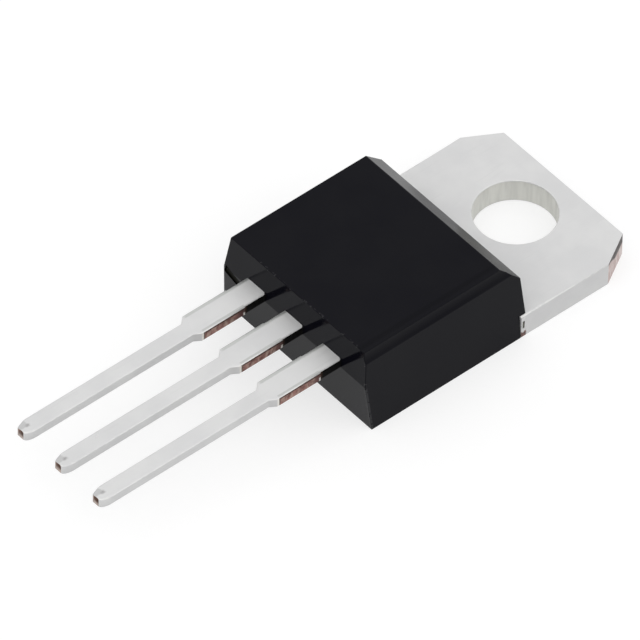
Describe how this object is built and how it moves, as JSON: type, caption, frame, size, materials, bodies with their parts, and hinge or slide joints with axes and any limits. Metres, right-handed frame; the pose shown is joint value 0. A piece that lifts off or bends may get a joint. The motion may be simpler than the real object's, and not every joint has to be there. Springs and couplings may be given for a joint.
{
  "type": "schottky diode",
  "caption": "Dual Schottky rectifier in a black moulded power package with a drilled metal mounting tab and straight through-hole leads.",
  "frame": {"origin": "on the axis of the mounting hole, at the tab's back face", "axes": "+X across the tab, +Y along the leads from their ends towards the tab's end, +Z away from the face that bolts to a heat sink"},
  "size_m": [0.01, 0.0289, 0.0045],
  "materials": {
    "moulding": "fine matt moulded epoxy, near black",
    "tinned_copper": "matt tin plating over copper, bare copper on the cut edges",
    "silicon": "polished metallised silicon",
    "solder": "dull grey solder",
    "aluminium_wire": "smooth drawn aluminium wire"
  },
  "bodies": {
    "root": {"moulded_body": "moulding", "tab_and_middle_lead": "tinned_copper", "left_lead": "tinned_copper", "right_lead": "tinned_copper", "left_die": "silicon", "right_die": "silicon", "left_solder": "solder", "right_solder": "solder", "left_inner_wire": "aluminium_wire", "left_outer_wire": "aluminium_wire", "right_inner_wire": "aluminium_wire", "right_outer_wire": "aluminium_wire"}
  },
  "joints": []
}
